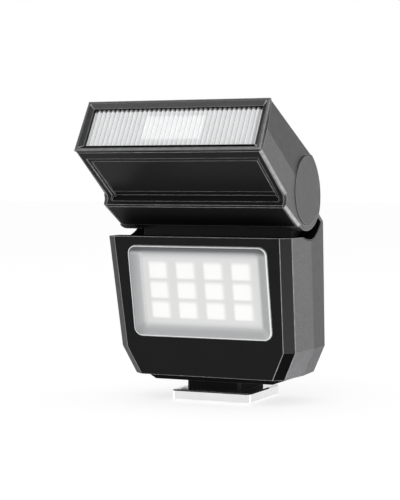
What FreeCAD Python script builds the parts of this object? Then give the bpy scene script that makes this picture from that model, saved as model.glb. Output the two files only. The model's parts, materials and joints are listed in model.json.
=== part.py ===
import FreeCAD, Part
import math
import os

from FreeCAD import Vector

# Compact hot-shoe flash with an LED fill light in its body and a tilting flash head.
# Millimetres, +Z up.  Origin: centre of the underside of the shoe foot.
# +X is the right-hand side, -Y the front (the side the light comes out of).
# Every node is drawn in the rest pose: head raised HEAD_TILT above the forward position.

os.makedirs("parts", exist_ok=True)

# ---------------------------------------------------------------- driving dimensions
FOOT_W, FOOT_D, FOOT_T = 18.6, 18.0, 2.0      # ISO 518 shoe foot plate
NECK_W, NECK_D = 12.6, 14.2                   # plastic neck between foot and body
PLATE_Z = 3.95                                # underside of the bottom plate
BODY_Z = 5.36                                 # underside of the housing
CORNER_Z = 11.4                               # height where the lower corners start
TOP_Z = 35.84                                 # flat top of the housing
WALL_Z = 41.4                                 # top of the wall behind the hinge
HALF_TOP, HALF_CORNER, HALF_BOTTOM = 19.19, 18.32, 15.43
FRONT_Y, FRONT_LEAN = -17.0, 0.193            # front face at TOP_Z, run per mm of drop
REAR_Y, REAR_LEAN = 5.6, 0.14                 # rear face at TOP_Z, run per mm of drop
BEVEL_X, BEVEL_Y = 2.14, 1.85                 # bevel down each side of the front
CREASE_X, CREASE_Y = 2.95, 11.0               # vertical crease on each side
REAR_SLOPE = 0.075                            # side taper behind the crease
REAR_BEVEL_X, REAR_BEVEL_Y = 1.5, 1.7
SKIN = 1.4                                    # housing wall
COVER_T = 1.8                                 # front cover plate

PIVOT_Y, PIVOT_Z = -6.2, 45.8                 # tilt axis of the head, along X
HEAD_TILT = 31.0                              # rest pose, degrees above forward
BARREL_R = 8.65                               # outside of the hinge barrel
DRUM_R, DRUM_HALF = 7.2, 17.6                 # fixed drum inside the barrel
CRADLE_R = 10.5                               # hollow in the body behind the barrel
SLOT_HALF = 18.1                              # half width of the slot in the barrel
HEAD_HALF = 20.9                              # half width of the head at its edges
SHELL_U = 25.46                               # front rim of the head shell
FRONT_U = 26.44                               # front of the bezel
SHAFT_R = 2.0
NECK_Y0, NECK_Y1 = PIVOT_Y + 0.8, PIVOT_Y + 5.4   # stem of the hinge bracket
SLOT_END = 139.0                              # end of the slot round the barrel, degrees from up
LABEL_U0, LABEL_U1, LABEL_HALF = 10.0, 21.9, 18.7 # recess for the label under the head

WINDOW_W, WINDOW_H = 32.3, 20.3               # LED window in the front cover
WINDOW_DROP = 12.1                            # centre of the window below the top edge
LED_COLUMNS, LED_ROWS = 4, 3
LED_PITCH_X, LED_PITCH_Z = 6.46, 4.4
LED_W, LED_H = 3.9, 3.2

LENS_W, LENS_H, LENS_V = 38.4, 9.13, -0.13    # flash lens and its centre above the beam axis
LENS_U = 25.0                                 # foot of the lens ribs along the beam
RIB = 1.06                                    # pitch of the lens ribs
BEZEL_TOP, BEZEL_LOW = 5.98, -6.12            # bezel edges above and below the beam axis
TUBE_U = 17.2                                 # flash tube along the beam
TUBE_R = 1.45
POCKET_W, POCKET_H = 14.4, 5.6                # deep part of the reflector

PLATE_Y0, PLATE_Y1 = -7.0, 8.2                # bottom plate, front and rear
PLATE_SCREW_X, PLATE_SCREW_Y = (-13.0, 13.0), (-4.8, 6.0)
FOOT_SCREW_X, FOOT_SCREW_Y = (-4.6, 4.6), (-5.3, 5.3)
PORT_X, PORT_Y, PORT_Z = -21.2, -0.1, 17.0    # mouth of the USB-C port
CAP_Y, CAP_Z, CAP_R = -4.6, 10.55, 3.55       # flash capacitor
CAP_GROOVE_X = 9.9

PANEL_W, PANEL_H, PANEL_DROP = 35.0, 25.6, 14.6   # control panel and its centre below the top
BUTTONS = {"test_button": (9.6, -8.6, 3.3), "mode_button": (9.6, -17.2, 2.3)}   # x, z, radius
KEYS = {"plus_key": (-10.4, -8.4), "minus_key": (-10.4, -14.9)}
KEY_W, KEY_H = 7.4, 4.8
SWITCH_Z, SWITCH_HALF = -23.6, 1.5            # power switch and half its travel
LEVEL_LIGHTS, LEVEL_X, LEVEL_Z, LEVEL_PITCH = 5, -1.6, -6.4, 2.8
CLEAR = 0.2                                   # gap round the keys

FRONT_ANGLE = math.degrees(math.atan(FRONT_LEAN))
REAR_ANGLE = math.degrees(math.atan(REAR_LEAN))
X_AXIS = Vector(1, 0, 0)


# ---------------------------------------------------------------- helpers
def box(x0, x1, y0, y1, z0, z1):
    return Part.makeBox(x1 - x0, y1 - y0, z1 - z0, Vector(x0, y0, z0))


def rod_x(y, z, r, x0, x1):
    return Part.makeCylinder(r, x1 - x0, Vector(x0, y, z), X_AXIS)


def rod_y(x, z, r, y0, y1):
    return Part.makeCylinder(r, y1 - y0, Vector(x, y0, z), Vector(0, 1, 0))


def rod_z(x, y, r, z0, z1):
    return Part.makeCylinder(r, z1 - z0, Vector(x, y, z0), Vector(0, 0, 1))


def tube_x(y, z, r_out, r_in, x0, x1):
    return rod_x(y, z, r_out, x0, x1).cut(rod_x(y, z, r_in, x0 - 1, x1 + 1))


def prism(points, direction):
    """Extrude a closed polygon of 3-D points."""
    wire = Part.makePolygon(points + [points[0]])
    return Part.Face(wire).extrude(direction)


def profile_x(yz, x0, x1):
    return prism([Vector(x0, y, z) for y, z in yz], Vector(x1 - x0, 0, 0))


def round_rect(w, h, r, y, zc=0.0, xc=0.0):
    """Rounded rectangle wire in the XZ plane at depth y."""
    a, b = w / 2 - r, h / 2 - r
    k = r * math.sqrt(0.5)
    corners = ((a, b, 1, 1), (-a, b, -1, 1), (-a, -b, -1, -1), (a, -b, 1, -1))
    ends = []
    for cx, cz, sx, sz in corners:
        side = Vector(xc + cx + sx * r, y, zc + cz)
        mid = Vector(xc + cx + sx * k, y, zc + cz + sz * k)
        cap = Vector(xc + cx, y, zc + cz + sz * r)
        first, last = (side, cap) if sx * sz > 0 else (cap, side)
        ends.append((first, mid, last))
    items = []
    for i, (first, mid, last) in enumerate(ends):
        items.append(Part.Arc(first, mid, last).toShape())
        items.append(Part.makeLine(last, ends[(i + 1) % 4][0]))
    return Part.Wire(items)


def slab(w, h, r, y0, y1, zc=0.0, xc=0.0):
    """Rounded rectangle plate between depths y0 and y1."""
    return Part.Face(round_rect(w, h, r, y0, zc, xc)).extrude(Vector(0, y1 - y0, 0))


def front_frame(shape):
    """Place a shape drawn on the front face: y is depth, z is distance from the top edge."""
    placed = shape.copy()
    placed.translate(Vector(0, FRONT_Y, TOP_Z))
    placed.rotate(Vector(0, FRONT_Y, TOP_Z), X_AXIS, FRONT_ANGLE)
    return placed


def rear_frame(shape):
    """Place a shape drawn on the rear face: +y points out of the back."""
    placed = shape.copy()
    placed.translate(Vector(0, REAR_Y, TOP_Z))
    placed.rotate(Vector(0, REAR_Y, TOP_Z), X_AXIS, REAR_ANGLE)
    return placed


def head_frame(shape):
    """Place a shape drawn in the head: y = -u along the beam, z = v across it."""
    placed = shape.copy()
    placed.translate(Vector(0, PIVOT_Y, PIVOT_Z))
    placed.rotate(Vector(0, PIVOT_Y, PIVOT_Z), X_AXIS, -HEAD_TILT)
    return placed


def profile_head(uv, x0, x1):
    return profile_x([(-u, v) for u, v in uv], x0, x1)


def soften(shape, radius, wanted):
    """Round every edge whose midpoint passes the test."""
    picked = []
    for edge in shape.Edges:
        mid = edge.valueAt((edge.FirstParameter + edge.LastParameter) / 2)
        if wanted(mid, edge):
            picked.append(edge)
    return shape.makeFillet(radius, picked)


def save(name, shape):
    """Write one node; a group of solids goes out as a compound."""
    solids = shape.Solids
    out = solids[0] if len(solids) == 1 else Part.makeCompound(solids)
    out.exportStep("parts/" + name + ".step")
    print(name, len(solids), "valid" if out.isValid() else "INVALID", round(out.Volume, 1))


# ---------------------------------------------------------------- body outline
def half_width(z):
    if z >= CORNER_Z:
        t = (z - CORNER_Z) / (TOP_Z - CORNER_Z)
        return HALF_CORNER + t * (HALF_TOP - HALF_CORNER)
    t = (z - BODY_Z) / (CORNER_Z - BODY_Z)
    return HALF_BOTTOM + t * (HALF_CORNER - HALF_BOTTOM)


def body_section(z, inset=0.0):
    """Ten-sided horizontal section of the body at height z."""
    w = half_width(z)
    drop = TOP_Z - z
    front = FRONT_Y + FRONT_LEAN * drop
    rear = REAR_Y + REAR_LEAN * drop
    crease = front + CREASE_Y
    shoulder = rear - REAR_BEVEL_Y
    y_shoulder = shoulder - 0.4 * inset
    x_shoulder = w + CREASE_X - inset - REAR_SLOPE * (y_shoulder - crease)
    right = [
        (w - 0.6 * inset, front + inset),
        (w + BEVEL_X - inset, front + BEVEL_Y + 0.4 * inset),
        (w + CREASE_X - inset, crease),
        (x_shoulder, y_shoulder),
        (x_shoulder - REAR_BEVEL_X + 0.4 * inset, rear - inset),
    ]
    ring = right + [(-x, y) for x, y in reversed(right)]
    return [Vector(x, y, z) for x, y in ring]


def solid_between(sections):
    """Closed solid with flat faces through a stack of matching sections."""
    faces = [Part.Face(Part.makePolygon(sections[0] + [sections[0][0]]))]
    faces.append(Part.Face(Part.makePolygon(sections[-1] + [sections[-1][0]])))
    count = len(sections[0])
    for low, high in zip(sections, sections[1:]):
        for i in range(count):
            j = (i + 1) % count
            ring = [low[i], low[j], high[j], high[i], low[i]]
            faces.append(Part.Face(Part.makePolygon(ring)))
    solid = Part.Solid(Part.Shell(faces))
    if solid.Volume < 0:
        solid.reverse()
    return solid


outline = solid_between([body_section(z) for z in (BODY_Z, CORNER_Z, WALL_Z)])
cavity = solid_between(
    [body_section(z, SKIN) for z in (BODY_Z + SKIN, CORNER_Z + 0.3, TOP_Z - SKIN)])

# The top is flat in front and hollowed round the hinge barrel; the wall rises behind it.
above_top = box(-30, 30, -40, PIVOT_Y, TOP_Z, 60)
cradle = rod_x(PIVOT_Y, PIVOT_Z, CRADLE_R, -30, 30)
outline = outline.cut(above_top.fuse(cradle))
for side in (-1, 1):
    corner = [(side * 21.9, 38.6), (side * 18.9, 41.6), (side * 30, 52), (side * 30, 38.6)]
    outline = outline.cut(prism([Vector(x, -10, z) for x, z in corner], Vector(0, 30, 0)))

in_front = front_frame(box(-40, 40, -20, COVER_T, -60, 40))
behind = front_frame(box(-40, 40, COVER_T + 0.12, 60, -60, 40))

# ---------------------------------------------------------------- front cover and LED light
window_hole = slab(WINDOW_W, WINDOW_H, 1.9, -1, COVER_T + 1, -WINDOW_DROP)
front_cover = outline.common(in_front).removeSplitter()
front_cover = soften(
    front_cover, 0.28,
    lambda mid, e: abs(mid.x) > 15 and abs(mid.y - FRONT_Y - FRONT_LEAN * (TOP_Z - mid.z)) < 0.02)
front_cover = front_cover.cut(front_frame(window_hole))
save("front_cover", front_cover)

# Dished frosted window: proud rounded lip, sloping border, flat field.
window = slab(WINDOW_W - 0.12, WINDOW_H - 0.12, 1.84, -0.35, 1.98, -WINDOW_DROP)
dish = Part.makeLoft([
    round_rect(WINDOW_W - 1.0, WINDOW_H - 1.0, 1.45, -0.36, -WINDOW_DROP),
    round_rect(27.2, 16.2, 0.9, 1.05, -WINDOW_DROP + 0.25)], True, True)
light_window = window.cut(dish)
light_window = soften(light_window, 0.2, lambda mid, e: mid.y < -0.34)
save("light_window", front_frame(light_window))

# White frame behind the window that keeps the light forward.
frame_outer = slab(WINDOW_W - 0.2, WINDOW_H - 0.2, 1.8, 2.02, 4.1, -WINDOW_DROP)
frame_inner = slab(WINDOW_W - 2.4, WINDOW_H - 2.4, 0.8, 1.9, 4.2, -WINDOW_DROP)
save("light_frame", front_frame(frame_outer.cut(frame_inner)))

led_board = slab(WINDOW_W - 2.6, WINDOW_H - 2.6, 0.7, 3.1, 4.1, -WINDOW_DROP)
for x in (-13.4, 13.4):
    led_board = led_board.cut(rod_y(x, -WINDOW_DROP + 7.2, 0.6, 3, 4.2))
save("led_board", front_frame(led_board))

packages = []
emitters = []
for row in range(LED_ROWS):
    for column in range(LED_COLUMNS):
        x = (column - (LED_COLUMNS - 1) / 2) * LED_PITCH_X
        z = ((LED_ROWS - 1) / 2 - row) * LED_PITCH_Z - WINDOW_DROP + 0.15
        case = box(x - LED_W / 2, x + LED_W / 2, 2.3, 3.1, z - LED_H / 2, z + LED_H / 2)
        well = slab(LED_W - 0.7, LED_H - 0.7, 0.4, 2.2, 2.6, z, x)
        packages.append(case.cut(well))
        emitters.append(slab(LED_W - 0.76, LED_H - 0.76, 0.37, 2.34, 2.6, z, x))
save("led_cases", front_frame(Part.makeCompound(packages)))
save("led_phosphor", front_frame(Part.makeCompound(emitters)))

# ---------------------------------------------------------------- housing
housing = outline.common(behind).cut(cavity)
housing = housing.cut(front_frame(box(-17.6, 17.6, 0, 3.4, -33, -2.0)).common(cavity))
housing = housing.cut(front_frame(box(-16.6, 16.6, -1, 6.5, -26, -1.6)))
housing = housing.cut(front_frame(box(-14.6, 14.6, -1, 6.5, -29.4, -1.6)))

# Opening in the floor behind the bottom plate, and the slot for the hinge neck.
housing = housing.cut(box(-12.4, 12.4, -6.0, 6.6, BODY_Z - 1, BODY_Z + SKIN + 0.6))
housing = housing.cut(box(-DRUM_HALF - 0.1, DRUM_HALF + 0.1, NECK_Y0 - 0.1, NECK_Y1 + 0.1, 33, 45))

# Shallow pocket in the back for the control panel.
pocket = slab(PANEL_W + 0.2, PANEL_H + 0.2, 2.1, -1.0, 3, -PANEL_DROP)
opening = slab(PANEL_W - 2.4, PANEL_H - 2.4, 1.4, -4, 3, -PANEL_DROP)
housing = housing.cut(rear_frame(pocket)).cut(rear_frame(opening))

# Port opening low on the left side.
port_hole = Part.Face(round_rect(3.4, 9.2, 1.69, 0)).extrude(Vector(0, 10, 0))
port_hole.rotate(Vector(0, 0, 0), Vector(0, 0, 1), 90)
port_hole.translate(Vector(-15.5, PORT_Y, PORT_Z))
housing = housing.cut(port_hole)

# ---------------------------------------------------------------- bottom plate, neck and foot
half = [(13.9, PLATE_Z), (15.2, PLATE_Z + 0.75), (15.2, BODY_Z)]
ring = half + [(-x, z) for x, z in reversed(half)]
bottom_plate = prism([Vector(x, PLATE_Y0, z) for x, z in ring], Vector(0, PLATE_Y1 - PLATE_Y0, 0))
plate_screws = []
for x in PLATE_SCREW_X:
    for y in PLATE_SCREW_Y:
        bottom_plate = bottom_plate.cut(rod_z(x, y, 0.62, 4, 6))
        bottom_plate = bottom_plate.cut(rod_z(x, y, 1.05, 4, 4.72))
        screw = rod_z(x, y, 1.0, 4.24, 4.72).fuse(rod_z(x, y, 0.6, 4.72, 6.6))
        screw = screw.cut(box(x - 0.62, x + 0.62, y - 0.11, y + 0.11, 4, 4.44))
        screw = screw.cut(box(x - 0.11, x + 0.11, y - 0.62, y + 0.62, 4, 4.44))
        plate_screws.append(screw)
        housing = housing.cut(rod_z(x, y, 0.6, 5, 6.62))
bottom_plate = bottom_plate.cut(rod_z(0, 0, 1.9, 3, 7))
save("housing", housing)
save("plate_screws", Part.makeCompound(plate_screws))

neck = box(-NECK_W / 2, NECK_W / 2, -NECK_D / 2, NECK_D / 2, FOOT_T, PLATE_Z)
neck = soften(neck, 0.7, lambda mid, e: abs(mid.z - (FOOT_T + PLATE_Z) / 2) < 0.01)
neck = neck.cut(rod_z(0, 0, 2.12, 1, 2.62)).cut(rod_z(0, 0, 1.9, 2, 5))

foot = box(-FOOT_W / 2, FOOT_W / 2, -FOOT_D / 2, FOOT_D / 2, 0, FOOT_T)
foot = soften(foot, 0.9, lambda mid, e: abs(mid.z - FOOT_T / 2) < 0.01)
foot = foot.makeChamfer(0.3, [e for e in foot.Edges if abs(e.CenterOfMass.z - FOOT_T) < 0.01])
foot = foot.cut(rod_z(0, 0, 3.6, -1, 1.2)).cut(rod_z(0, 0, 2.2, -1, 3))
foot_screws = []
for x in FOOT_SCREW_X:
    for y in FOOT_SCREW_Y:
        head = Part.makeCone(1.6, 0.75, 0.85, Vector(x, y, 0.08))
        shank = rod_z(x, y, 0.75, 0.93, 5.2)
        sink = Part.makeCone(1.72, 0.77, 0.95, Vector(x, y, 0.0))
        foot = foot.cut(sink).cut(rod_z(x, y, 0.77, 0.5, 3))
        neck = neck.cut(rod_z(x, y, 0.77, 1, 5))
        bottom_plate = bottom_plate.cut(rod_z(x, y, 0.77, 3, 5.22))
        screw = head.fuse(shank)
        screw = screw.cut(box(x - 0.75, x + 0.75, y - 0.13, y + 0.13, 0, 0.4))
        screw = screw.cut(box(x - 0.13, x + 0.13, y - 0.75, y + 0.75, 0, 0.4))
        foot_screws.append(screw)
save("bottom_plate", bottom_plate)
save("foot_neck", neck)
save("shoe_foot", foot)
save("foot_screws", Part.makeCompound(foot_screws))

insulator = rod_z(0, 0, 3.55, 0.08, 1.18).fuse(rod_z(0, 0, 2.1, 1.18, 2.6))
insulator = insulator.fuse(rod_z(0, 0, 1.85, 2.6, 6.2))
insulator = insulator.cut(rod_z(0, 0, 1.15, 0, 1.3)).cut(rod_z(0, 0, 1.45, 1.3, 5.6))
save("contact_insulator", insulator)

pin = rod_z(0, 0, 1.1, -0.25, 1.3).fuse(rod_z(0, 0, 1.38, 1.35, 1.9)).fuse(rod_z(0, 0, 1.1, 1.2, 1.4))
pin = pin.fuse(Part.makeSphere(1.1, Vector(0, 0, -0.25)).common(box(-2, 2, -2, 2, -0.5, 0)))
save("contact_pin", pin)

turns = Part.makeHelix(0.66, 3.3, 1.08)
coil = Part.Wire(turns).makePipeShell(
    [Part.Wire(Part.makeCircle(0.13, Vector(1.08, 0, 0), Vector(0, 1, 0.09)))], True, True)
coil.translate(Vector(0, 0, 2.1))
save("contact_spring", coil)

# ---------------------------------------------------------------- hinge bracket and shaft
drum = rod_x(PIVOT_Y, PIVOT_Z, DRUM_R, -DRUM_HALF, DRUM_HALF)
stem = box(-DRUM_HALF, DRUM_HALF, NECK_Y0, NECK_Y1, TOP_Z - SKIN - 0.1, PIVOT_Z - 4)
flange = box(-19.0, 19.0, NECK_Y0 - 0.3, NECK_Y1 + 1.5, TOP_Z - SKIN - 1.4, TOP_Z - SKIN - 0.05)
bracket = drum.fuse(stem).fuse(flange)
bracket = bracket.cut(rod_x(PIVOT_Y, PIVOT_Z, SHAFT_R, -20, 20))
for x0, x1 in ((-15.8, -5.4), (-4.2, 4.2), (5.4, 15.8)):
    bracket = bracket.cut(box(x0, x1, NECK_Y0 + 1.2, NECK_Y1 - 1.2, 30, PIVOT_Z - 3.4))
save("hinge_bracket", bracket)

save("hinge_shaft", tube_x(PIVOT_Y, PIVOT_Z, SHAFT_R, 1.2, -20.1, 20.1))
washers = []
clips = []
for side in (-1, 1):
    washer = tube_x(PIVOT_Y, PIVOT_Z, 4.2, SHAFT_R, 17.75, 17.95)
    clip = tube_x(PIVOT_Y, PIVOT_Z, 3.3, SHAFT_R, 19.5, 19.9)
    clip = clip.cut(box(19, 21, PIVOT_Y - 1.3, PIVOT_Y + 1.3, PIVOT_Z - 5, PIVOT_Z - 1))
    if side < 0:
        washer = washer.mirror(Vector(0, 0, 0), X_AXIS)
        clip = clip.mirror(Vector(0, 0, 0), X_AXIS)
    washers.append(washer)
    clips.append(clip)
save("friction_washers", Part.makeCompound(washers))
save("shaft_clips", Part.makeCompound(clips))

# ---------------------------------------------------------------- electronics in the body
battery = box(-15.0, 15.0, 4.6, 9.6, -23.2, -3.6)
battery = soften(battery, 1.1, lambda mid, e: abs(mid.z + 13.4) < 0.1 or abs(abs(mid.x) - 15) < 0.1)
save("battery_pack", front_frame(battery))

capacitor = rod_x(CAP_Y, CAP_Z, CAP_R, -13.4, 12.2)
groove = tube_x(CAP_Y, CAP_Z, CAP_R + 1, CAP_R - 0.35, CAP_GROOVE_X, CAP_GROOVE_X + 0.7)
capacitor = capacitor.cut(groove)
for dz in (-1.4, 1.4):
    capacitor = capacitor.fuse(rod_x(CAP_Y, CAP_Z + dz, 0.35, 12.2, 14.2))
save("flash_capacitor", capacitor)

board = slab(34.0, 23.4, 0.6, -6.2, -5.2, -16.2)
save("main_board", rear_frame(board))
chips = []
for x, z, w, h, t in ((-9, -11, 5, 5, 0.9), (4, -9, 4, 3, 0.8), (11, -19, 4.4, 3.2, 1.1),
                      (-3, -20, 3, 3, 0.7), (-11, -22, 6, 2.4, 0.8), (13, -10, 2, 3.2, 0.6)):
    chips.append(box(x - w / 2, x + w / 2, -6.2 - t, -6.2, z - h / 2, z + h / 2))
save("board_chips", rear_frame(Part.makeCompound(chips)))
core = box(-1.2, 7.0, -9.4, -6.2, -18.6, -12.6)
save("step_up_transformer", rear_frame(core))

# USB-C receptacle on the left edge.
shell = Part.Face(round_rect(3.16, 8.94, 1.57, 0)).extrude(Vector(0, 7.0, 0))
bore = Part.Face(round_rect(2.56, 8.34, 1.27, 0)).extrude(Vector(0, 6.4, 0))
port = shell.cut(bore)
tongue = box(-0.35, 0.35, 0.9, 6.4, -3.35, 3.35)
for item in (port, tongue):
    item.rotate(Vector(0, 0, 0), Vector(0, 0, 1), -90)
    item.translate(Vector(PORT_X, PORT_Y, PORT_Z))
save("usb_shell", port)
save("usb_tongue", tongue)

# ---------------------------------------------------------------- control panel on the back
panel = slab(PANEL_W, PANEL_H, 2.0, -0.96, 0.12, -PANEL_DROP)
for x, z, r in BUTTONS.values():
    panel = panel.cut(rod_y(x, z, r + CLEAR, -2, 1))
for x, z in KEYS.values():
    panel = panel.cut(slab(KEY_W + 2 * CLEAR, KEY_H + 2 * CLEAR, 1.5, -2, 1, z, x))
panel = panel.cut(slab(8.6, 2.6, 1.2, -2, 1, SWITCH_Z, 0))
lights = []
for i in range(LEVEL_LIGHTS):
    z = LEVEL_Z - LEVEL_PITCH * i
    panel = panel.cut(rod_y(LEVEL_X, z, 0.72, -2, 1))
    lights.append(rod_y(LEVEL_X, z, 0.7, -1.6, 0.1))
save("control_panel", rear_frame(panel))
save("level_lights", rear_frame(Part.makeCompound(lights)))

for name, (x, z, r) in BUTTONS.items():
    cap = rod_y(x, z, r, -1.1, 0.75)
    cap = soften(cap, 0.3, lambda mid, e: mid.y > 0.7)
    cap = cap.fuse(rod_y(x, z, r + 0.75, -1.9, -1.32)).fuse(rod_y(x, z, r, -1.4, -1.0))
    cap = cap.fuse(rod_y(x, z, 1.1, -3.5, -1.8))
    save(name, rear_frame(cap))
for name, (x, z) in KEYS.items():
    cap = slab(KEY_W, KEY_H, 1.3, -1.1, 0.75, z, x)
    cap = soften(cap, 0.3, lambda mid, e: mid.y > 0.7)
    cap = cap.fuse(slab(KEY_W, KEY_H, 1.3, -1.4, -1.0, z, x))
    cap = cap.fuse(slab(KEY_W + 1.3, KEY_H + 1.1, 1.5, -1.9, -1.32, z, x))
    cap = cap.fuse(rod_y(x, z, 1.1, -3.5, -1.8))
    save(name, rear_frame(cap))

knob = box(-1.9, 1.9, -1.3, 0.8, SWITCH_Z - 1.05, SWITCH_Z + 1.05)
knob = soften(knob, 0.25, lambda mid, e: mid.y > 0.75)
for i in range(4):
    x = -1.2 + 0.8 * i
    knob = knob.cut(box(x - 0.14, x + 0.14, 0.58, 1.0, SWITCH_Z - 2, SWITCH_Z + 2))
knob = knob.fuse(box(-4.3, 4.3, -1.7, -1.22, SWITCH_Z - 1.6, SWITCH_Z + 1.6))
knob = knob.fuse(box(-0.8, 0.8, -2.8, -1.6, SWITCH_Z - 0.7, SWITCH_Z + 0.7))
knob.translate(Vector(-SWITCH_HALF, 0, 0))
save("power_knob", rear_frame(knob))

tacts = []
for x, z in [b[:2] for b in BUTTONS.values()] + list(KEYS.values()):
    body = box(x - 1.7, x + 1.7, -5.2, -4.3, z - 1.7, z + 1.7)
    tacts.append(body.fuse(rod_y(x, z, 0.9, -4.35, -4.05)))
switch_body = box(-4.4, 4.4, -5.2, -3.1, SWITCH_Z - 1.5, SWITCH_Z + 1.5)
switch_body = switch_body.cut(box(-3.1, 3.1, -3.9, -3, SWITCH_Z - 1.0, SWITCH_Z + 1.0))
tacts.append(switch_body)
save("board_switches", rear_frame(Part.makeCompound(tacts)))

# ---------------------------------------------------------------- head shell
TOP_SLOPE = math.radians(5.53)
LOW_SLOPE = math.radians(3.6)
TOP_TANGENT = (BARREL_R * math.sin(TOP_SLOPE), BARREL_R * math.cos(TOP_SLOPE))
LOW_TANGENT = (-BARREL_R * math.sin(LOW_SLOPE), -BARREL_R * math.cos(LOW_SLOPE))
FRONT_TOP_V = TOP_TANGENT[1] - (SHELL_U - TOP_TANGENT[0]) * math.tan(TOP_SLOPE)
LIP_U = 8.67
LIP_V = LOW_TANGENT[1] - (LIP_U - LOW_TANGENT[0]) * math.tan(LOW_SLOPE)
UNDER_FRONT, UNDER_REAR = (SHELL_U, -6.25), (9.87, -6.9)
STEP_V, STEP_R = -8.1, 1.2                    # hollow rounding where the underside steps down
STEP_PARTS, ARC_PARTS = 8, 48                 # straight pieces in the step and in the barrel


def underside_points():
    """Underside of the head in (u, v), from the front rim over the step to the barrel."""
    step = []
    for i in range(1, STEP_PARTS):
        a = math.pi / 2 + (math.pi / 2) * i / STEP_PARTS
        step.append((LIP_U + STEP_R + STEP_R * math.cos(a), STEP_V + STEP_R * math.sin(a)))
    lip = [(LIP_U, STEP_V), (LIP_U, LIP_V + 0.35), (LIP_U - 0.35, LIP_V)]
    return [UNDER_FRONT, UNDER_REAR] + step + lip + [LOW_TANGENT]


def head_profile():
    """Side view of the head in (u, v): wedge in front, round barrel at the back."""
    start = math.pi / 2 - TOP_SLOPE
    stop = 1.5 * math.pi - LOW_SLOPE
    barrel = []
    for i in range(1, ARC_PARTS):
        a = stop + (start - stop) * i / ARC_PARTS
        barrel.append((BARREL_R * math.cos(a), BARREL_R * math.sin(a)))
    return underside_points() + barrel + [TOP_TANGENT, (SHELL_U, FRONT_TOP_V)]


def across_beam(points, u0, u1):
    """Extrude a front-view polygon (x, v) along the beam."""
    return prism([Vector(x, -u0, v) for x, v in points], Vector(0, u0 - u1, 0))


EDGE = 0.45
FLARE = 0.4 / 26.5                            # the head widens toward the barrel


def head_edge(u, v):
    """Half width of the head: two flat facets meeting at a ridge on each side."""
    points = [(12.0, 20.16), (6.0, 20.6), (-0.95, 21.02), (-6.1, 20.88), (-12.0, 20.72)]
    for (v1, x1), (v0, x0) in zip(points, points[1:]):
        if v >= v0:
            return x0 + (x1 - x0) * (v - v0) / (v1 - v0) + FLARE * (26.5 - u)
    return points[-1][1] + FLARE * (26.5 - u)


def head_ring(u):
    right = [(head_edge(u, v), v) for v in (12.0, 6.0, -0.95, -6.1, -12.0)]
    ring = right + [(-x, v) for x, v in reversed(right)]
    return [Vector(x, -u, v) for x, v in ring]


head = profile_head(head_profile(), -23, 23)
head = head.common(solid_between([head_ring(-12), head_ring(30)]))
for side in (-1, 1):
    # Narrow chamfers where the sides meet the underside and the top.
    for (u0, v0), (u1, v1), lean in (
            (UNDER_FRONT, UNDER_REAR, -1), ((LIP_U, LIP_V), LOW_TANGENT, -1),
            ((SHELL_U, FRONT_TOP_V), TOP_TANGENT, 1)):
        du, dv = u1 - u0, v1 - v0
        rings = []
        for u, v in ((u0 - du * 0.02, v0 - dv * 0.02), (u1 + du * 0.02, v1 + dv * 0.02)):
            x = head_edge(u, v0)
            wedge = [(x - EDGE, 0.0), (x + 0.6, -lean * (EDGE + 0.6)),
                     (x + 0.6, lean * 0.8), (x - EDGE, lean * 0.8)]
            rings.append([Vector(side * px, -u, v + pv) for px, pv in wedge])
        head = head.cut(solid_between(rings))

# Hollow front for the reflector, round hollow for the drum, open slot for the neck.
hollow = profile_head([(30, 4.95), (SHELL_U, 4.95), (9.0, 6.4), (8.9, -5.75), (SHELL_U, -5.05),
                       (30, -5.05)], -19.4, 19.4)
drum_room = rod_x(0, 0, 7.6, -SLOT_HALF, SLOT_HALF)
SLOT_START, SLOT_PARTS = 3.3, 24
sweep = []
for i in range(SLOT_PARTS + 1):
    a = math.radians(SLOT_START + (SLOT_END - SLOT_START) * i / SLOT_PARTS)
    sweep.append((-20 * math.sin(a), -20 * math.cos(a)))
slot = profile_head([(0, 0)] + sweep, -SLOT_HALF, SLOT_HALF)
slot = slot.cut(rod_x(0, 0, 7.0, -20, 20))
bore = rod_x(0, 0, SHAFT_R + 0.05, -22, 22)
head_space = hollow.fuse(drum_room).fuse(slot).fuse(bore)
for side in (-1, 1):
    a, b = sorted((side * 19.4, side * 20.55))
    c, d = sorted((side * 20.5, side * 23.0))
    head_space = head_space.fuse(rod_x(0, 0, 5.2, a, b)).fuse(rod_x(0, 0, 7.5, c, d))

# Black underside cover let into the grey shell.
strip = underside_points()
inner = [(-0.5, -7.62), (6.9, -7.95), (7.3, -5.9), (8.6, -5.6), (SHELL_U, -4.9)]
strip_solid = profile_head(strip + inner, -20.36, 20.36)
strip_room = profile_head(strip + inner, -20.4, 20.4)

shell = head.cut(head_space).cut(strip_room)

underside = strip_solid.common(head).cut(drum_room).cut(slot)
slope = math.atan2(UNDER_FRONT[1] - UNDER_REAR[1], UNDER_FRONT[0] - UNDER_REAR[0])


def on_underside(shape):
    """Shapes drawn with z=0 on the underside surface and y=-u."""
    placed = shape.copy()
    placed.rotate(Vector(0, -UNDER_REAR[0], 0), X_AXIS, -math.degrees(slope))
    placed.translate(Vector(0, 0, UNDER_REAR[1]))
    return placed


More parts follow.
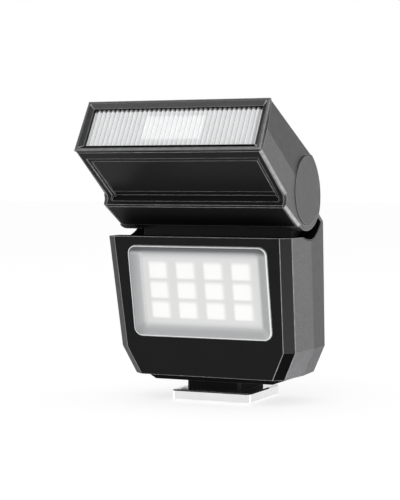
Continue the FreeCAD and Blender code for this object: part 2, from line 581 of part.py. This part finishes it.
# Two shallow steps run round three sides and open into the groove at the back.
recess = on_underside(box(-LABEL_HALF - 0.6, LABEL_HALF + 0.6, -LABEL_U1 - 1.3, -8.6, -1, 0.22))
recess = recess.fuse(on_underside(box(-LABEL_HALF, LABEL_HALF, -LABEL_U1, -8.6, -1, 0.62)))
underside = underside.cut(recess)
label = box(-LABEL_HALF + 0.12, LABEL_HALF - 0.12, -LABEL_U1 + 0.12, -LABEL_U0 - 0.3, 0.36, 0.6)
head_screws = []
for x in (-16.6, 16.6):
    for u in (12.2, 20.4):
        inner_x, outer_x = sorted((x, 19.6 if x > 0 else -19.6))
        boss = rod_z(x, -u, 1.5, 1.42, 4.4).fuse(box(inner_x, outer_x, -u - 0.4, -u + 0.4, 1.42, 4.4))
        shell = shell.fuse(on_underside(boss)).cut(on_underside(rod_z(x, -u, 0.6, 1, 3.6)))
        underside = underside.cut(on_underside(rod_z(x, -u, 0.6, -1, 3)))
        underside = underside.cut(on_underside(rod_z(x, -u, 1.1, -1, 0.95)))
        screw = rod_z(x, -u, 1.05, 0.64, 0.95).fuse(rod_z(x, -u, 0.58, 0.9, 3.4))
        head_screws.append(on_underside(screw))
save("head_shell", head_frame(shell))
save("head_underside", head_frame(underside))
save("label_plate", head_frame(on_underside(label)))
save("head_screws", head_frame(Part.makeCompound(head_screws)))

caps = []
for side in (-1, 1):
    disc = rod_x(0, 0, 7.38, 20.52, 21.52)
    disc = soften(disc, 0.15, lambda mid, e: mid.x > 21.5)
    if side < 0:
        disc = disc.mirror(Vector(0, 0, 0), X_AXIS)
    caps.append(disc)
save("pivot_caps", head_frame(Part.makeCompound(caps)))

# ---------------------------------------------------------------- bezel, lens, reflector, tube
rim = [(20.62, BEZEL_TOP), (20.86, BEZEL_LOW), (-20.86, BEZEL_LOW), (-20.62, BEZEL_TOP)]
bezel = across_beam(rim, SHELL_U + 0.14, FRONT_U)
bezel = soften(bezel, 0.3, lambda mid, e: mid.y < -FRONT_U + 0.02 or abs(mid.x) < 1)
bezel_cut = Part.makeLoft([
    round_rect(LENS_W, LENS_H, 0.15, -SHELL_U + 0.1, LENS_V),
    round_rect(LENS_W, LENS_H, 0.15, -SHELL_U - 0.3, LENS_V)], True, True)
bezel_flare = Part.makeLoft([
    round_rect(LENS_W, LENS_H, 0.15, -SHELL_U - 0.3, LENS_V),
    round_rect(LENS_W + 2.5, LENS_H + 2.5, 0.5, -FRONT_U - 0.2, LENS_V)], True, True)
bezel = bezel.cut(bezel_cut).cut(bezel_flare)
save("head_bezel", head_frame(bezel))

count = int((LENS_W - 0.3) / RIB)
zigzag = []
for i in range(count):
    x = -count * RIB / 2 + i * RIB
    zigzag += [(x + 0.06, LENS_U), (x + 0.3, LENS_U + 0.33), (x + RIB / 2, LENS_U + 0.41),
               (x + RIB - 0.3, LENS_U + 0.33), (x + RIB - 0.06, LENS_U)]
edge = LENS_W / 2 - 0.08
lens_face = [(-edge, LENS_U - 0.85), (-edge, LENS_U)] + zigzag
lens_face += [(edge, LENS_U), (edge, LENS_U - 0.85)]
low_v, high_v = LENS_V - LENS_H / 2 + 0.06, LENS_V + LENS_H / 2 - 0.06
lens = prism([Vector(x, -u, low_v) for x, u in lens_face], Vector(0, 0, high_v - low_v))
save("fresnel_lens", head_frame(lens))


def trough(grow):
    """Flared reflector with a deep pocket for the tube; grow offsets it outward."""
    g = 2 * grow
    flare = Part.makeLoft([
        round_rect(37.6 + g, 8.0 + g, 0.5, -24.0, LENS_V),
        round_rect(POCKET_W + g, POCKET_H + g, 0.5, -19.8, LENS_V)], True, True)
    pocket = slab(POCKET_W + g, POCKET_H + g, 0.5, -19.9, -17.0, LENS_V)
    back = rod_x(-17.0, LENS_V, POCKET_H / 2 + grow, -POCKET_W / 2 - grow, POCKET_W / 2 + grow)
    return flare.fuse(pocket).fuse(back)


reflector = trough(0.35).cut(trough(0.0)).cut(slab(60, 30, 1, -30, -23.98, LENS_V))
mouth = slab(37.6, 8.0, 0.5, -24.1, -23.9, LENS_V)
reflector = reflector.cut(mouth).cut(rod_x(-TUBE_U, LENS_V, 1.6, -12, 12))
save("flash_reflector", head_frame(reflector))

tube = tube_x(-TUBE_U, LENS_V, TUBE_R, 1.0, -9.4, 9.4)
save("flash_tube", head_frame(tube))
electrodes = []
for side in (-1, 1):
    a, b = sorted((side * 9.45, side * 10.4))
    c, d = sorted((side * 7.6, side * 12.4))
    end = rod_x(-TUBE_U, LENS_V, TUBE_R, a, b).fuse(rod_x(-TUBE_U, LENS_V, 0.45, c, d))
    electrodes.append(end)
save("tube_electrodes", head_frame(Part.makeCompound(electrodes)))

trigger_board = box(-13.0, 13.0, -11.2, -10.2, -4.4, 4.6)
coil_body = rod_x(-12.8, 2.4, 1.5, 3.0, 10.0)
save("trigger_board", head_frame(trigger_board))
save("trigger_coil", head_frame(coil_body))
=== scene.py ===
import json
import math

import bpy
import numpy as np
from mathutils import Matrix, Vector


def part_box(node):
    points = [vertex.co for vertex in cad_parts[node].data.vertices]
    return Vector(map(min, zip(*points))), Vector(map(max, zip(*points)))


# Compact hot-shoe flash: finishes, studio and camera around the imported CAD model.
# The scene is in metres, with +Z up and the front at -Y. Sizes on the surfaces are in millimetres.

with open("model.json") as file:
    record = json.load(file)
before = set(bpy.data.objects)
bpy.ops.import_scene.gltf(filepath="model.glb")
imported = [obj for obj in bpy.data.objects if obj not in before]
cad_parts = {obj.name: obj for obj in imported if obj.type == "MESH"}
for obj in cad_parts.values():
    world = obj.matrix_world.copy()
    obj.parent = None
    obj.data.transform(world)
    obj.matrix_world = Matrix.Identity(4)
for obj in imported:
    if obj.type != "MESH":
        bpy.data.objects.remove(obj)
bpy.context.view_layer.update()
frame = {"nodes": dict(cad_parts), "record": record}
nodes = frame["nodes"]
slot_of = {part["node"]: part["material_slot"] for part in frame["record"]["subparts"]}

MM = 0.001

# Directions on the object.
FRONT_LEAN = math.atan(0.193)        # lean of the front cover from upright
HEAD_TILT = math.radians(31.0)       # the head at rest, above straight ahead
RIGHT = Vector((1, 0, 0))
REARWARD = Vector((0, 1, 0))
UP = Vector((0, 0, 1))
COVER_UP = Vector((0, -math.sin(FRONT_LEAN), math.cos(FRONT_LEAN)))
HEAD_UP = Vector((0, math.sin(HEAD_TILT), math.cos(HEAD_TILT)))
HEAD_FORWARD = Vector((0, -math.cos(HEAD_TILT), math.sin(HEAD_TILT)))
LOWER_BEVEL = Vector((0.7, -0.6, -0.4)).normalized()     # lower right corner of the cover's bevel
DOWN_FORWARD = Vector((0, -0.7, -0.7))

# The window, in mm: across it first, then up it.
WINDOW_HALF = (16.09, 10.09)         # half its size
WINDOW_CORNER = 1.84                 # corner radius
FIELD_HALF = (13.7, 7.9)             # half the size of the field that glows
FIELD_SOFTNESS = (1.1, 2.2)
FIELD_GLOW = 0.29
LED_COUNT = (4, 3)
LED_PITCH = (6.46, 4.4)
LED_SIZE = (4.3, 3.7)
LED_SHIFT = (-0.15, 0.0)             # middle of the lit LEDs from the middle of the window
LED_GLOW = 0.24

# The flash lens, in mm.
RIB = 1.06                           # rib pitch
TUBE_HALF = (6.7, 2.8)               # half the size of the painted highlight in the middle
TUBE_SOFTNESS = 0.5
TUBE_PAINTED_GLOW = 0.13
LENS_PAINTED_GLOW = 0.07

# Painted shade on the top of the housing and in the hollow round the hinge barrel, in mm from the axle.
HINGE_SHADE_RADIUS = 10.75                   # the hollow round the barrel
HINGE_SHADE_DROP = -10.45                    # the height of the top of the housing
HINGE_SHADE_BLUR = 0.15

# Camera: where it stands round the object, and the point that it looks at.
CAMERA_AZIMUTH = math.radians(24.03)
CAMERA_ELEVATION = math.radians(2.52)
CAMERA_DISTANCE = 0.3412
CAMERA_LENS = 112.35
CAMERA_TARGET = Vector((-0.00323, -0.0070, 0.03267))

# Brightness of the dome by the sine of the elevation.
DOME = ((-0.98, 0.10), (-0.30, 0.10), (-0.10, 1.0), (0.06, 1.0), (0.20, 0.62), (0.98, 0.62))

# Softboxes: azimuth and elevation in degrees, width and height in metres, brightness.
# Azimuth 0 is behind the object, and 90 is on its right.
SOFTBOX_DISTANCE = 0.6
SOFTBOXES = {
    "right_side": (122, -44, 0.50, 0.50, 3.9),
    "side_strip": (60, -6, 0.14, 0.50, 5.0),
    "left_side": (-66, -32, 0.35, 0.45, 1.0),
    "front_fill": (-118, 2, 0.40, 0.40, 1.7),
    "front_top": (178, 48, 0.30, 0.30, 1.6),
    "low_strip": (30, -38, 0.24, 0.20, 5.0),
}

FLOOR_REACH = 3.0
FLOOR_GAP = 0.05 * MM                # under the contact pin, which is the lowest point
FLOOR_GLOW = 0.735


def grey(level):
    return (level, level, level, 1.0)


def tone(colour, factor):
    """The colour, lighter or darker by that factor."""
    return [min(1.0, level * factor) for level in colour] + [1.0]


# ---------------------------------------------------------------- material kit
class Finish:
    """One material: a Principled shader and short ways to feed it."""

    def __init__(self, name, **constants):
        self.material = bpy.data.materials.new(name)
        self.material.use_nodes = True
        self.tree = self.material.node_tree
        self.shader = self.tree.nodes["Principled BSDF"]
        for socket, value in constants.items():
            self.shade(socket.replace("_", " "), value)
        self.place = self.add("TexCoord").outputs["Object"]
        normal = self.add("NewGeometry").outputs["Normal"]
        self.facing = self.add("VectorTransform", {"Vector": normal}, vector_type="NORMAL",
                               convert_from="WORLD", convert_to="OBJECT").outputs[0]

    def feed(self, socket, value):
        """Link an output to the socket, or set a plain value on it."""
        if isinstance(value, bpy.types.NodeSocket):
            self.tree.links.new(value, socket)
        else:
            socket.default_value = value

    def shade(self, name, value):
        """Feed the shader's own socket of that name."""
        self.feed(self.shader.inputs[name], value)

    def add(self, kind, inputs=(), **settings):
        node = self.tree.nodes.new("ShaderNode" + kind)
        for key, value in settings.items():
            setattr(node, key, value)
        for key, value in dict(inputs).items():
            self.feed(node.inputs[key], value)
        return node

    def math(self, operation, *values, clamp=False):
        return self.add("Math", enumerate(values), operation=operation, use_clamp=clamp).outputs[0]

    def times(self, first, second):
        return self.math("MULTIPLY", first, second)

    def hypotenuse(self, first, second):
        return self.math("SQRT", self.math("MULTIPLY_ADD", first, first, self.times(second, second)))

    def span(self, value, start, end, low=0.0, high=1.0):
        """Smooth step from low where value is at start to high where it is at end."""
        sockets = {"Value": value, "From Min": start, "From Max": end, "To Min": low, "To Max": high}
        return self.add("MapRange", sockets, interpolation_type="SMOOTHSTEP").outputs[0]

    def blend(self, factor, first, second):
        """The first colour where factor is 0, the second where it is 1."""
        node = self.add("Mix", {0: factor, 6: first, 7: second}, data_type="RGBA")
        return node.outputs[2]

    def dot(self, first, second):
        return self.add("VectorMath", {0: first, 1: second}, operation="DOT_PRODUCT").outputs["Value"]

    def along(self, origin, axis):
        """Distance in mm from origin along axis, at each point of the surface."""
        offset = self.add("VectorMath", {0: self.place, 1: origin}, operation="SUBTRACT").outputs[0]
        return self.dot(offset, axis / MM)

    def noise(self, size, detail=3.0, stretch=(1.0, 1.0, 1.0)):
        """Cloudy noise round 0.5, with lumps of that size in mm."""
        squeeze = [1 / factor for factor in stretch]
        squeezed = self.add("VectorMath", {0: self.place, 1: squeeze}, operation="MULTIPLY").outputs[0]
        sockets = {"Vector": squeezed, "Scale": 1 / (size * MM), "Detail": detail}
        return self.add("TexNoise", sockets).outputs["Fac"]

    def towards(self, direction, start, end, low=0.0, high=1.0):
        """Smooth step by how nearly the surface faces that direction, which is 1 straight at it."""
        return self.span(self.dot(self.facing, direction), start, end, low, high)

    def sideways(self, start, end):
        """1 where the surface faces left or right."""
        return self.span(self.math("ABSOLUTE", self.dot(self.facing, RIGHT)), start, end)

    def sharp_edges(self, radius):
        """1 on sharp edges within that radius in mm, 0 on flat faces."""
        rounded = self.add("Bevel", {"Radius": radius * MM}, samples=6).outputs[0]
        plain = self.add("NewGeometry").outputs["Normal"]
        return self.span(self.dot(rounded, plain), 0.998, 0.948)

    def rounded_edges(self, flats, barrel):
        """1 where the surface turns between the directions of its flat faces, as on a fillet.
        With barrel, what curves about the X axis isn't an edge."""
        nearest = -1.0
        for flat in flats:
            nearest = self.math("MAXIMUM", self.dot(self.facing, flat), nearest)
        edge = self.span(nearest, 0.9993, 0.985)
        if barrel:
            edge = self.times(edge, self.sideways(0.05, 0.15))
        return edge

    def bump(self, height, depth):
        """Relief of that depth in mm."""
        sockets = {"Height": height, "Distance": depth * MM, "Strength": 1.0}
        self.shade("Normal", self.add("Bump", sockets).outputs[0])


def plastic(name, colour, roughness, grain=0.10, depth=0.004, specular=0.5, edge_highlight=0.0, mottle=0.08,
            flats=(), barrel=False, black=None, painted_matt_shade=None, speckle=0.0, painted_facet_shade=False):
    """Moulded plastic: fine spark texture, faint flow marks, edges smoother and painted lighter as a
    painted highlight.
    Where black(finish) is 1, it is black as painted shade and reflects nothing. Where
    painted_matt_shade(finish) is 1, it is black and rough as painted shade. With painted_facet_shade, sides
    that lean back or up are painted darker and those that lean forward or down lighter, as painted shade."""
    finish = Finish(name, Specular_IOR_Level=specular)
    cloud = finish.noise(7.0)
    fine = finish.noise(grain, detail=2.0)
    wear_and_highlight_noise = finish.noise(1.6, detail=6.0)
    body = finish.blend(cloud, tone(colour, 1 - mottle), tone(colour, 1 + mottle))
    brightness = finish.span(fine, 0.35, 0.65, 1 - speckle, 1 + speckle)
    # Painted shade: sides that lean back or up are darker, and those that lean forward or down lighter.
    if painted_facet_shade:
        lean = finish.towards(DOWN_FORWARD, -0.06, 0.06, low=-0.72, high=0.24)
        lean = finish.math("MULTIPLY_ADD", lean, finish.sideways(0.7, 0.9), 1.0)
        brightness = finish.times(brightness, lean)
    body = finish.add("VectorMath", {0: body, 3: brightness}, operation="SCALE").outputs[0]
    rough = finish.span(wear_and_highlight_noise, 0.3, 0.7, roughness - 0.02, roughness + 0.02)
    # Painted shade: where the mask is 1, the plastic is black and reflects nothing.
    if black:
        dark = black(finish)
        body = finish.blend(dark, body, grey(0.006))
        finish.shade("Specular IOR Level", finish.math("MULTIPLY_ADD", dark, -specular, specular))
    # Painted shade: where the mask is 1, the plastic is black and rough, so it reflects little.
    if painted_matt_shade:
        dark = painted_matt_shade(finish)
        body = finish.blend(dark, body, grey(0.001))
        rough = finish.math("MULTIPLY_ADD", dark, 1 - roughness, rough)
    # Painted highlight: edges and fillets are painted lighter, more in some patches than in others.
    edge = finish.sharp_edges(0.2)
    if flats:
        edge = finish.math("MAXIMUM", edge, finish.rounded_edges(flats, barrel))
    edge = finish.times(edge, finish.span(wear_and_highlight_noise, 0.25, 0.75, 0.6, 1.0))
    edge_highlight_colour = [min(1.0, level + edge_highlight) for level in colour] + [1.0]
    finish.shade("Base Color", finish.blend(edge, body, edge_highlight_colour))
    smoother = finish.times(edge, 0.35 * roughness)
    finish.shade("Roughness", finish.math("SUBTRACT", rough, smoother, clamp=True))
    finish.bump(fine, depth)
    return finish


def metal(name, colour, roughness, brushed=(1.0, 1.0, 1.0), depth=0.002):
    """Plated or bare metal, with fine lines along the axes that brushed stretches."""
    finish = Finish(name, Metallic=1.0)
    lines = finish.noise(0.12, detail=4.0, stretch=brushed)
    stain = finish.noise(3.0)
    finish.shade("Base Color", finish.blend(stain, tone(colour, 0.92), tone(colour, 1.05)))
    worn = finish.times(finish.sharp_edges(0.15), 0.4 * roughness)
    rough = finish.span(lines, 0.3, 0.7, roughness * 0.75, roughness * 1.3)
    finish.shade("Roughness", finish.math("SUBTRACT", rough, worn, clamp=True))
    finish.bump(lines, depth)
    return finish


# ---------------------------------------------------------------- masks
def hinge_painted_shade(finish):
    """1 where the housing gets painted shade: on its top and in the hollow round the hinge barrel."""
    low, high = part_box("hinge_shaft")
    axle = (low + high) / 2
    back = finish.along(axle, REARWARD)
    up = finish.along(axle, UP)
    hollow = finish.span(finish.hypotenuse(back, up), HINGE_SHADE_RADIUS + HINGE_SHADE_BLUR, HINGE_SHADE_RADIUS - HINGE_SHADE_BLUR)
    high_up = finish.span(up, HINGE_SHADE_DROP - HINGE_SHADE_BLUR, HINGE_SHADE_DROP + HINGE_SHADE_BLUR)
    top = finish.times(high_up, finish.towards(UP, 0.35, 0.5))
    return finish.math("MAXIMUM", hollow, top)


def lower_bevel_painted_shade(finish):
    """1 where the front cover gets painted shade: on the lower right corner of its bevel."""
    return finish.towards(LOWER_BEVEL, 0.965, 0.985)


def bezel_painted_shade(finish):
    """1 where the bezel gets painted shade: on its lower bevel, which leads down to the flash lens, and
    less on the side ones.
    """
    forward = finish.dot(finish.facing, HEAD_FORWARD)
    sloping = finish.times(finish.span(forward, 0.60, 0.70), finish.span(forward, 0.96, 0.90))
    facing_left = finish.towards(-RIGHT, 0.35, 0.5, high=0.7)
    facing_right = finish.towards(RIGHT, 0.35, 0.5, high=0.4)
    either_side = finish.math("ADD", facing_left, facing_right)
    return finish.times(sloping, finish.math("MAXIMUM", finish.towards(HEAD_UP, 0.35, 0.5), either_side))


def soft_band(finish, value, half, softness):
    """1 where value is within half of 0, falling off over softness."""
    size = finish.math("ABSOLUTE", value)
    return finish.span(size, half + softness / 2, half - softness / 2)


def window_edge(finish, place):
    """Distance in mm from the window's rounded outline, inward."""
    beyond = []
    for value, half in zip(place, WINDOW_HALF):
        beyond.append(finish.math("SUBTRACT", finish.math("ABSOLUTE", value), half - WINDOW_CORNER))
    corner = finish.hypotenuse(*[finish.math("MAXIMUM", value, 0.0) for value in beyond])
    inside = finish.math("MINIMUM", finish.math("MAXIMUM", *beyond), 0.0)
    return finish.math("SUBTRACT", WINDOW_CORNER, finish.math("ADD", corner, inside))


def lit_cells(finish, value, shift, count, pitch, size):
    """1 inside each of count cells in a row, with a crisp low edge and a soft high one."""
    cells = finish.math("DIVIDE", finish.math("SUBTRACT", value, shift), pitch)
    cells = finish.math("ADD", cells, count / 2)
    inside = finish.times(finish.math("GREATER_THAN", cells, 0.0), finish.math("LESS_THAN", cells, count))
    local = finish.times(finish.math("SUBTRACT", finish.math("FRACT", cells), 0.5), pitch)
    low_edge = finish.span(local, -size / 2 - 0.3, -size / 2 + 0.45)
    high_edge = finish.span(local, size / 2 + 0.6, size / 2 - 0.75)
    return finish.times(inside, finish.times(low_edge, high_edge))


# ---------------------------------------------------------------- finishes
def black_satin(name, node):
    painted_matt_shade = lower_bevel_painted_shade if node == "front_cover" else None
    return plastic(name, (0.0115, 0.0115, 0.012), 0.36, depth=0.003, specular=0.16, edge_highlight=0.40,
                   flats=flat_directions(node), painted_matt_shade=painted_matt_shade)


def black_matte(name, node):
    specular, roughness = (0.05, 0.68) if node in ("foot_neck", "bottom_plate") else (0.27, 0.50)
    edge_highlight = {"head_underside": 0.50, "foot_neck": 0.02, "bottom_plate": 0.04}.get(node, 0.12)
    return plastic(name, (0.007, 0.007, 0.0075), roughness, grain=0.16, depth=0.010, specular=specular,
                   edge_highlight=edge_highlight, flats=flat_directions(node), barrel=node == "head_underside")


def grey_matte(name, node):
    edge_highlight = 0.28 if node == "head_shell" else 0.24
    # Masks of painted shade on the housing and on the bezel.
    black = {"housing": hinge_painted_shade, "head_bezel": bezel_painted_shade}.get(node)
    return plastic(name, (0.062, 0.062, 0.065), 0.46, grain=0.25, depth=0.035, edge_highlight=edge_highlight,
                   flats=flat_directions(node), barrel=node in ("head_shell", "housing"), black=black,
                   speckle=0.3, painted_facet_shade=True)


def key_grey(name, node):
    return plastic(name, (0.10, 0.10, 0.11), 0.50, depth=0.008, edge_highlight=0.08, flats=flat_directions(node))


def frosted(name, node):
    """Frosted cover of the LED light, with the glow of the lit LEDs on its flat field."""
    finish = Finish(name, Specular_IOR_Level=0.4, Roughness=0.34)
    low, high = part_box(node)
    centre = (low + high) / 2
    across = finish.along(centre, RIGHT)
    up = finish.along(centre, COVER_UP)
    cloud = finish.blend(finish.noise(4.0), (0.47, 0.48, 0.485, 1), (0.49, 0.50, 0.505, 1))
    shadow = finish.math("MAXIMUM", finish.span(up, 7.9, 9.2), finish.span(across, -13.0, -15.6, high=0.45))
    shadowed = finish.blend(shadow, cloud, (0.10, 0.105, 0.11, 1))
    # Painted highlight: a light line along the rim of the window.
    rim_highlight = finish.span(window_edge(finish, (across, up)), 0.30, 0.16)
    finish.shade("Base Color", finish.blend(rim_highlight, shadowed, grey(0.90)))
    field = FIELD_GLOW
    lit = LED_GLOW
    for axis, value in enumerate((across, up)):
        field = finish.times(field, soft_band(finish, value, FIELD_HALF[axis], FIELD_SOFTNESS[axis]))
        row = lit_cells(finish, value, LED_SHIFT[axis], LED_COUNT[axis], LED_PITCH[axis], LED_SIZE[axis])
        lit = finish.times(lit, row)
    finish.shade("Emission Color", (1.0, 0.985, 0.95, 1.0))
    finish.shade("Emission Strength", finish.math("ADD", field, lit))
    finish.bump(finish.noise(0.25), 0.0008)
    return finish


def clear_lens(name, node):
    """Clear ribbed cover over the flash reflector: near-white as a painted reflection of the reflector
    behind it, with painted shade in the rib grooves and a painted highlight glowing over the flash tube.
    """
    finish = Finish(name, Specular_IOR_Level=0.5)
    low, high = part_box(node)
    centre = (low + high) / 2
    across = finish.along(centre, RIGHT)
    up = finish.along(centre, HEAD_UP)
    turn = finish.math("FRACT", finish.math("ADD", finish.math("DIVIDE", across, RIB), 0.5))
    crest = finish.span(finish.math("ABSOLUTE", finish.math("SUBTRACT", turn, 0.5)), 0.49, 0.42)
    # Painted reflection: near-white for the reflector seen through the clear lens.
    painted_reflection = finish.blend(finish.noise(2.5), (0.82, 0.83, 0.84, 1), (0.88, 0.89, 0.89, 1))
    # Painted shade: dark lines in the rib grooves.
    ribs_painted_shade = finish.blend(crest, (0.42, 0.43, 0.43, 1), painted_reflection)
    dashes = finish.blend(crest, grey(0.02), grey(0.30))
    top_edge = finish.span(up, 3.95, 4.15)
    finish.shade("Base Color", finish.blend(top_edge, ribs_painted_shade, dashes))
    tube = finish.times(soft_band(finish, across, TUBE_HALF[0], TUBE_SOFTNESS),
                        soft_band(finish, up, TUBE_HALF[1], TUBE_SOFTNESS))
    # Painted highlight: the lens glows faintly all over, and more over the flash tube.
    glow = finish.math("MULTIPLY_ADD", tube, TUBE_PAINTED_GLOW, LENS_PAINTED_GLOW)
    finish.shade("Emission Color", grey(1.0))
    finish.shade("Emission Strength", finish.times(glow, finish.math("SUBTRACT", 1.0, top_edge)))
    finish.shade("Roughness", finish.span(finish.noise(1.2), 0.3, 0.7, 0.13, 0.19))
    finish.bump(finish.noise(0.5), 0.002)
    return finish


# Finishes that vary from node to node, or are more than plain plastic or metal.
MAKERS = {
    "black_satin": black_satin,
    "black_matte": black_matte,
    "grey_matte": grey_matte,
    "key_grey": key_grey,
    "frosted": frosted,
    "clear_lens": clear_lens,
}

# The others: colour, roughness, and what differs from the usual.
PLASTICS = {
    "white_plastic": ((0.82, 0.82, 0.80), 0.45, {}),
    "board_white": ((0.80, 0.80, 0.78), 0.35, {}),
    "board_green": ((0.03, 0.16, 0.07), 0.30, {"mottle": 0.25}),
    "phosphor": ((0.95, 0.85, 0.45), 0.50, {}),
    "tube_glass": ((0.80, 0.83, 0.86), 0.08, {}),
    "cap_sleeve": ((0.05, 0.06, 0.12), 0.30, {}),
    "chip": ((0.03, 0.03, 0.03), 0.50, {}),
    "key_red": ((0.45, 0.05, 0.035), 0.42, {"edge_highlight": 0.05}),
    "pipe": ((0.78, 0.84, 0.90), 0.20, {}),
    "ferrite": ((0.09, 0.09, 0.10), 0.60, {"grain": 0.3, "depth": 0.02}),
}
METALS = {
    "bright_metal": ((0.97, 0.97, 0.97), 0.10, {"brushed": (14.0, 14.0, 1.0), "depth": 0.0005}),
    "steel": ((0.56, 0.56, 0.57), 0.34, {"brushed": (10.0, 1.0, 1.0)}),
    "dark_screw": ((0.12, 0.12, 0.13), 0.38, {}),
    "gold": ((0.86, 0.64, 0.28), 0.20, {}),
    "reflector": ((0.92, 0.92, 0.92), 0.12, {"brushed": (12.0, 1.0, 1.0)}),
    "foil": ((0.70, 0.71, 0.73), 0.40, {}),
}

# Nodes whose fillets get a painted highlight line, with the least share of the area that makes a face flat.
EDGED = {
    "front_cover": 0.006,
    "housing": 0.006,
    "head_bezel": 0.008,
    "head_shell": 0.012,
    "head_underside": 0.012,
    "bottom_plate": 0.01,
    "control_panel": 0.01,
    "foot_neck": 0.02,
    "label_plate": 0.02,
    "mode_button": 0.03,
    "plus_key": 0.03,
    "minus_key": 0.03,
    "power_knob": 0.03,
}


def flat_directions(node):
    """Directions of the flat faces of a node whose fillets get a painted highlight line."""
    if node not in EDGED:
        return []
    faces = nodes[node].data.polygons
    normals = np.empty(len(faces) * 3)
    areas = np.empty(len(faces))
    faces.foreach_get("normal", normals)
    faces.foreach_get("area", areas)
    directions, group = np.unique(np.round(normals.reshape(-1, 3), 2), axis=0, return_inverse=True)
    share = np.bincount(group.ravel(), areas) / areas.sum()
    return [Vector(direction).normalized() for direction in directions[share > EDGED[node]]]


def make_finish(name, node):
    slot = slot_of[node]
    if slot in MAKERS:
        return MAKERS[slot](name, node)
    if slot in PLASTICS:
        colour, roughness, extras = PLASTICS[slot]
        return plastic(name, colour, roughness, **extras)
    colour, roughness, extras = METALS[slot]
    return metal(name, colour, roughness, **extras)


def dress():
    """Give every node a material: its own where its fillets get a painted highlight line, and one for the
    slot elsewhere.
    """
    finishes = {}
    for node, obj in nodes.items():
        slot = slot_of[node]
        name = slot + "." + node if node in EDGED else slot
        if name not in finishes:
            finishes[name] = make_finish(name, node)
        obj.data.materials.clear()
        obj.data.materials.append(finishes[name].material)


# ---------------------------------------------------------------- studio
def backdrop_world():
    """Pale dome, brightest near the horizon and dark under it. The camera sees it as plain white."""
    world = bpy.data.worlds.new("studio")
    bpy.context.scene.world = world
    world.use_nodes = True
    tree = world.node_tree
    background = tree.nodes["Background"]
    background.inputs["Color"].default_value = grey(1.0)
    direction = tree.nodes.new("ShaderNodeTexCoord").outputs["Generated"]
    split = tree.nodes.new("ShaderNodeSeparateXYZ")
    tree.links.new(direction, split.inputs[0])
    height = tree.nodes.new("ShaderNodeMath")
    height.operation = "MULTIPLY_ADD"
    tree.links.new(split.outputs["Z"], height.inputs[0])
    for place in (1, 2):
        height.inputs[place].default_value = 0.5
    bands = tree.nodes.new("ShaderNodeValToRGB")
    stops = bands.color_ramp.elements
    for sine, brightness in DOME:
        stops.new((sine + 1) / 2).color = grey(brightness)
    for end_of_ramp in (0, -1):
        stops.remove(stops[end_of_ramp])
    tree.links.new(height.outputs[0], bands.inputs[0])
    seen = tree.nodes.new("ShaderNodeLightPath").outputs["Is Camera Ray"]
    either = tree.nodes.new("ShaderNodeMath")
    either.operation = "MAXIMUM"
    tree.links.new(bands.outputs[0], either.inputs[0])
    tree.links.new(seen, either.inputs[1])
    tree.links.new(either.outputs[0], background.inputs["Strength"])


def pale_floor():
    """Floor just under the contact pin. It catches a faint shadow and adds no light to the object."""
    mesh = bpy.data.meshes.new("floor")
    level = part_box("contact_pin")[0].z - FLOOR_GAP
    corners = [(x * FLOOR_REACH, y * FLOOR_REACH, level) for x, y in ((-1, -1), (1, -1), (1, 1), (-1, 1))]
    mesh.from_pydata(corners, [], [(0, 1, 2, 3)])
    floor = bpy.data.objects.new("floor", mesh)
    bpy.context.scene.collection.objects.link(floor)
    finish = Finish("pale_floor", Roughness=0.9, Specular_IOR_Level=0.0)
    finish.shade("Base Color", finish.blend(finish.noise(400.0), grey(0.38), grey(0.40)))
    finish.shade("Emission Color", grey(1.0))
    finish.shade("Emission Strength", FLOOR_GLOW)
    mesh.materials.append(finish.material)
    floor.visible_glossy = False
    floor.visible_diffuse = False
    floor.visible_shadow = False


def place_facing(obj, outward, distance):
    """Put the object that far out from the point that the camera looks at, facing it."""
    bpy.context.scene.collection.objects.link(obj)
    obj.location = CAMERA_TARGET + outward * distance
    obj.rotation_euler = (-outward).to_track_quat("-Z", "Y").to_euler()


def softbox(name, azimuth, elevation, width, height, brightness):
    """A rectangular light that faces the object."""
    lamp = bpy.data.lights.new(name, "AREA")
    lamp.shape = "RECTANGLE"
    lamp.size = width
    lamp.size_y = height
    lamp.energy = brightness * math.pi * width * height
    obj = bpy.data.objects.new(name, lamp)
    obj.visible_camera = False
    turn = math.radians(azimuth)
    rise = math.radians(elevation)
    outward = Vector((math.sin(turn) * math.cos(rise), math.cos(turn) * math.cos(rise), math.sin(rise)))
    place_facing(obj, outward, SOFTBOX_DISTANCE)


def camera():
    data = bpy.data.cameras.new("camera")
    data.lens = CAMERA_LENS
    data.clip_start = 0.01
    data.clip_end = 20.0
    obj = bpy.data.objects.new("camera", data)
    back = Vector((math.sin(CAMERA_AZIMUTH) * math.cos(CAMERA_ELEVATION),
                   -math.cos(CAMERA_AZIMUTH) * math.cos(CAMERA_ELEVATION),
                   math.sin(CAMERA_ELEVATION)))
    place_facing(obj, back, CAMERA_DISTANCE)
    bpy.context.scene.camera = obj


# ---------------------------------------------------------------- assembly
camera()
dress()
backdrop_world()
pale_floor()
for name, settings in SOFTBOXES.items():
    softbox(name, *settings)
bpy.context.scene.view_settings.view_transform = "Standard"
